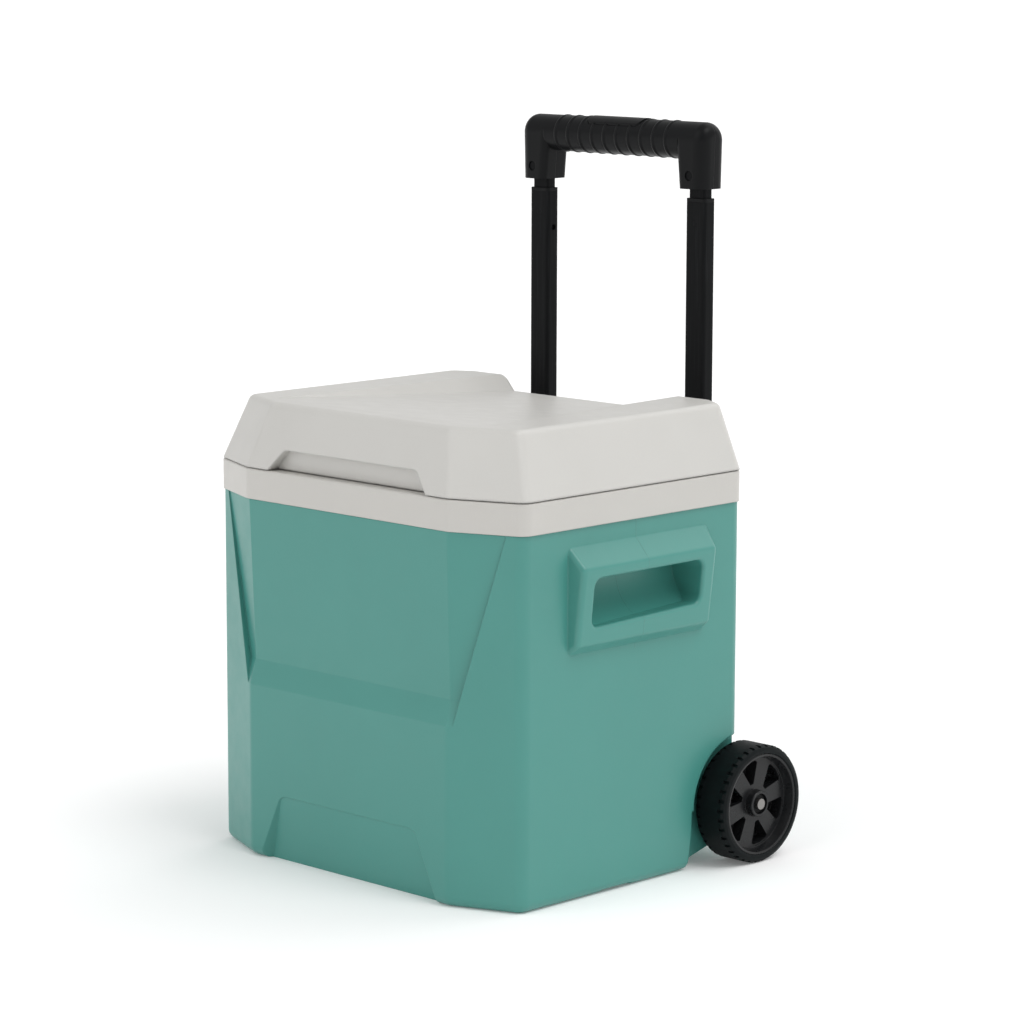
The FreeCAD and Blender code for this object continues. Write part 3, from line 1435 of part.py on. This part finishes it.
def build_axle():
    """Axle rod in its sleeve, with washers and push nuts."""
    centre = (D.wheel_y, D.wheel_radius)
    half = D.axle_half_length
    part("axle", rod("axle_part", "X", D.axle_radius, (-half, *centre), half * 2))
    sleeve = D.well_wall_x
    sleeve_outside = rod("sleeve_outside", "X", D.sleeve_radius, (-sleeve, *centre), sleeve * 2)
    sleeve_bore = rod("sleeve_bore", "X", D.axle_radius, (-sleeve - 1, *centre), sleeve * 2 + 2)
    part("axle_sleeve", cut("axle_sleeve_part", sleeve_outside, sleeve_bore))
    washer_disc = rod("washer_disc", "X", D.washer_radius, (sleeve + D.washer_gap, *centre),
                      D.washer_thickness)
    washer = cut("washer", washer_disc,
                 rod("washer_bore", "X", D.axle_radius, (sleeve - 1, *centre), D.lead))
    part("axle_washers", group("washer_group", washer, mirrored("washer_twin", washer)))
    nut_x = D.wheel_outer_x - D.hub_boss_setback - D.hub_recess_depth + D.nut_gap
    nut_disc = rod("push_nut_disc", "X", D.nut_radius, (nut_x, *centre), D.nut_thickness)
    nut = cut("push_nut", nut_disc,
              rod("push_nut_bore", "X", D.axle_radius, (nut_x - 1, *centre), D.lead))
    part("axle_push_nuts", group("push_nut_group", nut, mirrored("push_nut_twin", nut)))


def check_and_write():
    """Stops at any failed object or bad shape, then writes one STEP file per sub-part."""
    doc.recompute()
    for thing in doc.Objects:
        if "Invalid" in thing.State or "Error" in thing.State:
            raise RuntimeError(f"{thing.Name} ({thing.Label}) failed: {thing.State}")
    os.makedirs("parts", exist_ok=True)
    for name, thing in PARTS.items():
        shape = thing.Shape
        if shape.isNull() or not shape.isValid() or not shape.Solids:
            raise RuntimeError(f"{name} has no valid solid")
        print(f"{name}: {len(shape.Solids)} solid(s), {shape.Volume / 1000:.1f} cm3")
        shape.exportStep(os.path.join("parts", f"{name}.step"))
    print(f"{len(PARTS)} sub-parts")


build_body()
build_lid()
build_hinges()
build_tubes()
build_brackets()
build_grip()
build_wheels()
build_axle()
check_and_write()
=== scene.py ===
"""Looks of the wheeled cooler: materials, button springs, stage, lights and camera."""
import json
import math

import bpy
from mathutils import Matrix, Vector


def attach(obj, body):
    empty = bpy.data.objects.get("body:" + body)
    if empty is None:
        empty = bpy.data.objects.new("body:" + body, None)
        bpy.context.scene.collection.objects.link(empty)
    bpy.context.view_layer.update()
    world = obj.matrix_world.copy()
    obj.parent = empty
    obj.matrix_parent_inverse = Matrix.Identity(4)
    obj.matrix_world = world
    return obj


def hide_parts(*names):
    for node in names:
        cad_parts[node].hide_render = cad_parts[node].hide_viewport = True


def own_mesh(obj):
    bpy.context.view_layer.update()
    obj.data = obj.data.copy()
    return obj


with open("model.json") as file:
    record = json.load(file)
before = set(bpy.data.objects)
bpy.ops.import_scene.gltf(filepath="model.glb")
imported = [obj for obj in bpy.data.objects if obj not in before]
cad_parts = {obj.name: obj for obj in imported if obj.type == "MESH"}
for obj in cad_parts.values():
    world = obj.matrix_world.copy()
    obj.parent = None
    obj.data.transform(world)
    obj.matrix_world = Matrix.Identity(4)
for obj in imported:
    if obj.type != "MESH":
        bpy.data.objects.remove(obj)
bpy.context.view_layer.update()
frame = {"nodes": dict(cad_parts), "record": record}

NODES = frame["nodes"]
MM = 0.001
BEVEL_SAMPLES = 6


# ---------------------------------------------------------------- node helpers

class Graph:
    """A material's node tree, with short calls to add and join nodes."""

    def __init__(self, name):
        self.material = bpy.data.materials.new(name)
        self.material.use_nodes = True
        self.tree = self.material.node_tree
        self.shader = self.tree.nodes["Principled BSDF"]
        self.position = self.add("ShaderNodeTexCoord").outputs["Object"]

    def add(self, kind, **settings):
        node = self.tree.nodes.new(kind)
        for name, value in settings.items():
            setattr(node, name, value)
        return node

    def join(self, output, target):
        self.tree.links.new(output, target)

    def noise(self, scale, detail=2.0, roughness=0.5):
        """Noise whose grains are about 1 / scale metres across."""
        node = self.add("ShaderNodeTexNoise")
        self.join(self.position, node.inputs["Vector"])
        node.inputs["Scale"].default_value = scale
        node.inputs["Detail"].default_value = detail
        node.inputs["Roughness"].default_value = roughness
        return node.outputs["Fac"]

    def spread(self, value, low, high, from_low=0.3, from_high=0.7):
        """Maps a value to a new range."""
        node = self.add("ShaderNodeMapRange")
        self.join(value, node.inputs["Value"])
        node.inputs["From Min"].default_value = from_low
        node.inputs["From Max"].default_value = from_high
        node.inputs["To Min"].default_value = low
        node.inputs["To Max"].default_value = high
        return node.outputs["Result"]

    def blend(self, value, first, second):
        """Mixes two colours by a value."""
        node = self.add("ShaderNodeMix", data_type="RGBA")
        self.join(value, node.inputs["Factor"])
        for socket, colour in ((node.inputs["A"], first), (node.inputs["B"], second)):
            if isinstance(colour, tuple):
                socket.default_value = (*colour, 1.0)
            else:
                self.join(colour, socket)
        return node.outputs["Result"]

    def rounding(self, radius):
        """Normals that turn smoothly across the edges, over a radius in millimetres."""
        node = self.add("ShaderNodeBevel", samples=BEVEL_SAMPLES)
        node.inputs["Radius"].default_value = radius * MM
        return node.outputs["Normal"]

    def calculate(self, operation, first, second):
        """Arithmetic on two values or sockets."""
        node = self.add("ShaderNodeMath", operation=operation)
        for socket, value in zip(node.inputs, (first, second)):
            if isinstance(value, float):
                socket.default_value = value
            else:
                self.join(value, socket)
        return node.outputs["Value"]

    def bump(self, height, strength, distance, below=None):
        """Raises the surface by a height map, on top of an earlier bump."""
        node = self.add("ShaderNodeBump")
        node.inputs["Strength"].default_value = strength
        node.inputs["Distance"].default_value = distance
        self.join(height, node.inputs["Height"])
        if below is not None:
            self.join(below, node.inputs["Normal"])
        return node.outputs["Normal"]


def shade(colour, factor):
    """A lighter or darker copy of a colour."""
    return tuple(min(1.0, channel * factor) for channel in colour)


# ---------------------------------------------------------------- materials

BLACK_SPECULAR = 0.11
TUBE_SPECULAR = 0.06
WHEEL_SPECULAR = 0.30

# The parting line runs up each side at one place in Y, on the outer and upper part only
SEAM_Y = -17.0 * MM
SEAM_HALF = 0.16 * MM
SEAM_WANDER = 0.25 * MM
SEAM_DEPTH = 0.15 * MM
SEAM_TINT = 0.35
SEAM_FROM_X = 150.0 * MM
SEAM_FROM_Z = 200.0 * MM

# How fine each surface's grain is, in grains to the metre
PLASTIC_GRAIN = 1400
GRIP_GRAIN = 1100
POWDER_GRAIN = 900.0
RUB_GRAIN = 700.0
RUBBER_GRAIN = 1800.0
DUST_GRAIN = 45.0
SCRATCH_GRAIN = 2500.0
FOAM_CELLS = 600.0

RUB_STRETCH = (1.0, 1.0, 0.03)
WAVE_DEPTH = 0.4 * MM
POWDER_DEPTH = 0.03 * MM
RUBBER_DEPTH = 0.06 * MM
SCRATCH_DEPTH = 0.02 * MM
FOAM_DEPTH = 0.5 * MM
TUBE_EDGE = 0.8
TYRE_EDGE = 0.6


def parting_line(graph):
    """The fine line where the mould halves meet, showing on both upper side walls."""
    axes = graph.add("ShaderNodeSeparateXYZ")
    graph.join(graph.position, axes.inputs["Vector"])
    wander = graph.spread(graph.noise(14.0), -SEAM_WANDER, SEAM_WANDER)
    along = graph.calculate("ADD", graph.calculate("SUBTRACT", axes.outputs["Y"], SEAM_Y), wander)
    away = graph.calculate("ABSOLUTE", along, 0.0)
    near = graph.spread(away, 1.0, 0.0, SEAM_HALF, SEAM_HALF * 2.0)
    outward = graph.calculate("ABSOLUTE", axes.outputs["X"], 0.0)
    outboard = graph.calculate("GREATER_THAN", outward, SEAM_FROM_X)
    upper = graph.calculate("GREATER_THAN", axes.outputs["Z"], SEAM_FROM_Z)
    return graph.calculate("MULTIPLY", near, graph.calculate("MULTIPLY", outboard, upper))


def moulded_plastic(name, colour, roughness, edge, grain_depth=0.05, grain_scale=PLASTIC_GRAIN,
                    specular=0.5, seam=False):
    """Injection-moulded plastic: fine eroded grain, faint flow mottling and uneven gloss."""
    graph = Graph(name)
    grain = graph.noise(grain_scale, detail=3.0, roughness=0.6)
    flow = graph.noise(9.0, detail=3.0)
    tone = graph.blend(graph.spread(flow, 0.0, 1.0), shade(colour, 0.975), shade(colour, 1.025))
    skin = graph.blend(graph.spread(grain, 0.0, 0.35), tone, shade(colour, 1.08))
    gloss = graph.spread(graph.noise(60.0, detail=4.0), roughness - 0.04, roughness + 0.05)
    graph.join(gloss, graph.shader.inputs["Roughness"])
    waves = graph.bump(graph.noise(28.0, detail=1.0), 0.10, WAVE_DEPTH, graph.rounding(edge))
    relief = graph.bump(grain, 0.35, grain_depth * MM, waves)
    if seam:
        line = parting_line(graph)
        skin = graph.blend(graph.calculate("MULTIPLY", line, SEAM_TINT), skin, shade(colour, SEAM_TINT))
        relief = graph.bump(line, 0.8, SEAM_DEPTH, relief)
    graph.join(skin, graph.shader.inputs["Base Color"])
    graph.join(relief, graph.shader.inputs["Normal"])
    graph.shader.inputs["Specular IOR Level"].default_value = specular
    return graph.material


def coated_tube(name, colour, specular):
    """Satin powder coat on drawn tube, with faint lengthwise rub marks from sliding."""
    graph = Graph(name)
    peel = graph.noise(POWDER_GRAIN)
    stretch = graph.add("ShaderNodeMapping")
    stretch.inputs["Scale"].default_value = RUB_STRETCH
    graph.join(graph.position, stretch.inputs["Vector"])
    rub = graph.add("ShaderNodeTexNoise")
    graph.join(stretch.outputs["Vector"], rub.inputs["Vector"])
    rub.inputs["Scale"].default_value = RUB_GRAIN
    rub.inputs["Detail"].default_value = 4.0
    marks = graph.spread(rub.outputs["Fac"], 0.0, 1.0, 0.52, 0.75)
    graph.join(graph.blend(marks, colour, shade(colour, 1.9)), graph.shader.inputs["Base Color"])
    graph.join(graph.spread(rub.outputs["Fac"], 0.30, 0.42), graph.shader.inputs["Roughness"])
    relief = graph.bump(peel, 0.25, POWDER_DEPTH, graph.rounding(TUBE_EDGE))
    graph.join(relief, graph.shader.inputs["Normal"])
    graph.shader.inputs["Specular IOR Level"].default_value = specular
    return graph.material


def bright_steel(name, colour, roughness):
    """Cut or rolled steel with fine turning scratches."""
    graph = Graph(name)
    scratch = graph.noise(SCRATCH_GRAIN, detail=5.0, roughness=0.7)
    graph.join(graph.blend(graph.spread(scratch, 0.0, 1.0), shade(colour, 0.8), colour),
               graph.shader.inputs["Base Color"])
    gloss = graph.spread(scratch, roughness - 0.08, roughness + 0.1)
    graph.join(gloss, graph.shader.inputs["Roughness"])
    graph.shader.inputs["Metallic"].default_value = 1.0
    graph.join(graph.bump(scratch, 0.2, SCRATCH_DEPTH), graph.shader.inputs["Normal"])
    return graph.material


def tyre_rubber(name, colour):
    """Hard rubber with a matt moulded skin and a little dust in its grain."""
    graph = Graph(name)
    grain = graph.noise(RUBBER_GRAIN, detail=4.0, roughness=0.65)
    dust = graph.noise(DUST_GRAIN, detail=5.0, roughness=0.65)
    graph.join(graph.blend(graph.spread(dust, 0.0, 0.5, 0.5, 0.8), colour, shade(colour, 2.2)),
               graph.shader.inputs["Base Color"])
    graph.join(graph.spread(dust, 0.42, 0.62), graph.shader.inputs["Roughness"])
    relief = graph.bump(grain, 0.4, RUBBER_DEPTH, graph.rounding(TYRE_EDGE))
    graph.join(relief, graph.shader.inputs["Normal"])
    graph.shader.inputs["Specular IOR Level"].default_value = BLACK_SPECULAR
    return graph.material


def rigid_foam(name, colour):
    """Sprayed foam with open cells."""
    graph = Graph(name)
    cells = graph.add("ShaderNodeTexVoronoi")
    graph.join(graph.position, cells.inputs["Vector"])
    cells.inputs["Scale"].default_value = FOAM_CELLS
    graph.join(graph.blend(cells.outputs["Distance"], shade(colour, 0.75), colour),
               graph.shader.inputs["Base Color"])
    graph.shader.inputs["Roughness"].default_value = 0.95
    graph.join(graph.bump(cells.outputs["Distance"], 0.6, FOAM_DEPTH), graph.shader.inputs["Normal"])
    return graph.material


TEAL = (0.0615, 0.260, 0.2255)
LID_WHITE = (0.555, 0.546, 0.521)
COLLAR_WHITE = (0.530, 0.516, 0.488)
BLACK = (0.0062, 0.0066, 0.0072)
WHEEL_BLACK = shade(BLACK, 1.6)
RUBBER = (0.0045, 0.0065, 0.0070)
STEEL = (0.30, 0.29, 0.28)
FOAM = (0.72, 0.64, 0.40)

MATERIALS = {
    "shell_teal": moulded_plastic("teal plastic", TEAL, 0.34, edge=1.6, seam=True),
    "lid_white": moulded_plastic("white lid plastic", LID_WHITE, 0.40, edge=3.0, grain_depth=0.06),
    "liner_white": moulded_plastic("white liner plastic", COLLAR_WHITE, 0.38, edge=1.6,
                                   grain_depth=0.04),
    "foam": rigid_foam("rigid foam", FOAM),
    "tube_black": coated_tube("black coated tube", BLACK, specular=TUBE_SPECULAR),
    "grip_black": moulded_plastic("black grip plastic", BLACK, 0.34, edge=1.0, grain_depth=0.08,
                                  grain_scale=GRIP_GRAIN, specular=BLACK_SPECULAR),
    "black_plastic": moulded_plastic("black plastic", BLACK, 0.42, edge=0.8,
                                     specular=BLACK_SPECULAR),
    "wheel_black": moulded_plastic("black wheel plastic", WHEEL_BLACK, 0.28, edge=0.7,
                                   specular=WHEEL_SPECULAR),
    "tyre_black": tyre_rubber("tyre rubber", RUBBER),
    "steel": bright_steel("bright steel", STEEL, 0.40),
}
SLOTS = {row["node"]: row["material_slot"] for row in frame["record"]["subparts"]}


def dress(thing, material):
    """Gives every face of a piece one material."""
    thing.data.materials.clear()
    thing.data.materials.append(material)
    for face in thing.data.polygons:
        face.material_index = 0


for node_name, node in NODES.items():
    dress(node, MATERIALS[SLOTS[node_name]])


# ---------------------------------------------------------------- springs under the button


def pressed_spring(node_name):
    """A copy of a button spring's coil, carried by the grip in place of the hidden original."""
    spring = bpy.data.objects.new(node_name + "_coil", NODES[node_name].data.copy())
    bpy.context.scene.collection.objects.link(spring)
    dress(spring, MATERIALS[SLOTS[node_name]])
    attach(spring, "handle_grip")
    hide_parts(node_name)
    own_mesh(spring)


for side in ("left", "right"):
    pressed_spring("button_spring_" + side)


# ---------------------------------------------------------------- stage, lights and camera

FLOOR_REACH = 60.0
FLOOR_GLOW = 0.10
FLOOR_COLOUR = (0.93, 0.93, 0.93, 1.0)
WHITE = (1.0, 1.0, 1.0, 1.0)


def make_floor():
    """Pale floor that reaches past the horizon, with a faint glow that softens the shadows."""
    mesh = bpy.data.meshes.new("floor")
    reach = FLOOR_REACH
    corners = [(-reach, -reach, 0), (reach, -reach, 0), (reach, reach, 0), (-reach, reach, 0)]
    mesh.from_pydata(corners, [], [(0, 1, 2, 3)])
    floor = bpy.data.objects.new("floor", mesh)
    bpy.context.scene.collection.objects.link(floor)
    graph = Graph("pale floor")
    graph.shader.inputs["Base Color"].default_value = FLOOR_COLOUR
    graph.shader.inputs["Roughness"].default_value = 0.9
    graph.shader.inputs["Specular IOR Level"].default_value = 0.1
    graph.shader.inputs["Emission Color"].default_value = WHITE
    graph.shader.inputs["Emission Strength"].default_value = FLOOR_GLOW
    mesh.materials.append(graph.material)


# Directions that the room's light comes from
UP = (0.0, 0.0, 1.0)
CAMERA_SIDE = (0.70, -0.70, 0.14)
BACK_BOX = (0.09, 0.70, 0.70)
RIGHT_BOX = (0.82, 0.05, 0.57)
FRONT_BOX = (-0.15, -0.80, 0.58)
OVERHEAD_FROM = (0.52, 0.05, 0.85)

OVERHEAD_LIGHT = 0.9
OVERHEAD_SPREAD = math.radians(30.0)
BACK_LIGHT = 1.1
RIGHT_LIGHT = 0.4
FRONT_LIGHT = 1.0


def make_world():
    """A room with a bright sweep, a dim ceiling and soft boxes behind, in front and to the right."""
    world = bpy.data.worlds.new("studio")
    world.use_nodes = True
    tree = world.node_tree
    background = tree.nodes["Background"]
    direction = tree.nodes.new("ShaderNodeTexCoord").outputs["Generated"]

    def share(axis, start, end, start_light, end_light):
        """Light that changes with how far a direction leans along an axis."""
        lean = tree.nodes.new("ShaderNodeVectorMath")
        lean.operation = "DOT_PRODUCT"
        tree.links.new(direction, lean.inputs[0])
        lean.inputs[1].default_value = axis
        ramp = tree.nodes.new("ShaderNodeMapRange")
        ramp.interpolation_type = "SMOOTHSTEP"
        tree.links.new(lean.outputs["Value"], ramp.inputs["Value"])
        for socket, value in (("From Min", start), ("From Max", end), ("To Min", start_light),
                              ("To Max", end_light)):
            ramp.inputs[socket].default_value = value
        return ramp.outputs["Result"]

    def together(operation, first, second):
        """Two shares of light, multiplied or added."""
        node = tree.nodes.new("ShaderNodeMath")
        node.operation = operation
        tree.links.new(first, node.inputs[0])
        tree.links.new(second, node.inputs[1])
        return node.outputs["Value"]

    room = together("MULTIPLY", share(UP, 0.0, 0.24, 1.20, 0.55),
                    share(CAMERA_SIDE, 0.45, 0.95, 1.0, 0.6))
    boxes = together("ADD", share(BACK_BOX, 0.80, 0.93, 0.0, BACK_LIGHT),
                     share(RIGHT_BOX, 0.76, 0.95, 0.0, RIGHT_LIGHT))
    lamps = together("ADD", boxes, share(FRONT_BOX, 0.84, 0.95, 0.0, FRONT_LIGHT))
    tree.links.new(together("ADD", room, lamps), background.inputs["Strength"])
    background.inputs["Color"].default_value = WHITE
    bpy.context.scene.world = world


def make_light():
    """The room, and one soft lamp high on the right that throws the shadow to the left."""
    make_world()
    lamp = bpy.data.lights.new("overhead", "SUN")
    lamp.energy = OVERHEAD_LIGHT
    lamp.angle = OVERHEAD_SPREAD
    overhead = bpy.data.objects.new("overhead", lamp)
    overhead.rotation_mode = "QUATERNION"
    overhead.rotation_quaternion = Vector(OVERHEAD_FROM).to_track_quat("Z", "Y")
    bpy.context.scene.collection.objects.link(overhead)
    bpy.context.scene.view_settings.view_transform = "Standard"


CAMERA_AZIMUTH = math.radians(44.354)
CAMERA_ELEVATION = math.radians(9.229)
CAMERA_ROLL = math.radians(0.164)
CAMERA_PLACE = (2.1216, -2.1478, 0.7800)
CAMERA_LENS = 126.7
CAMERA_SENSOR = 36.0


def make_camera():
    """A long lens from the front right, looking slightly down."""
    turn, rise = CAMERA_AZIMUTH, CAMERA_ELEVATION
    back = Vector((math.sin(turn) * math.cos(rise), -math.cos(turn) * math.cos(rise), math.sin(rise)))
    right = Vector((math.cos(turn), math.sin(turn), 0.0))
    up = back.cross(right)
    rolled_right = right * math.cos(CAMERA_ROLL) + up * math.sin(CAMERA_ROLL)
    rolled_up = up * math.cos(CAMERA_ROLL) - right * math.sin(CAMERA_ROLL)
    lens = bpy.data.cameras.new("camera")
    lens.lens = CAMERA_LENS
    lens.sensor_width = CAMERA_SENSOR
    camera = bpy.data.objects.new("camera", lens)
    axes = Matrix((rolled_right, rolled_up, back)).transposed().to_4x4()
    camera.matrix_world = Matrix.Translation(CAMERA_PLACE) @ axes
    bpy.context.scene.collection.objects.link(camera)
    bpy.context.scene.camera = camera


make_floor()
make_light()
make_camera()
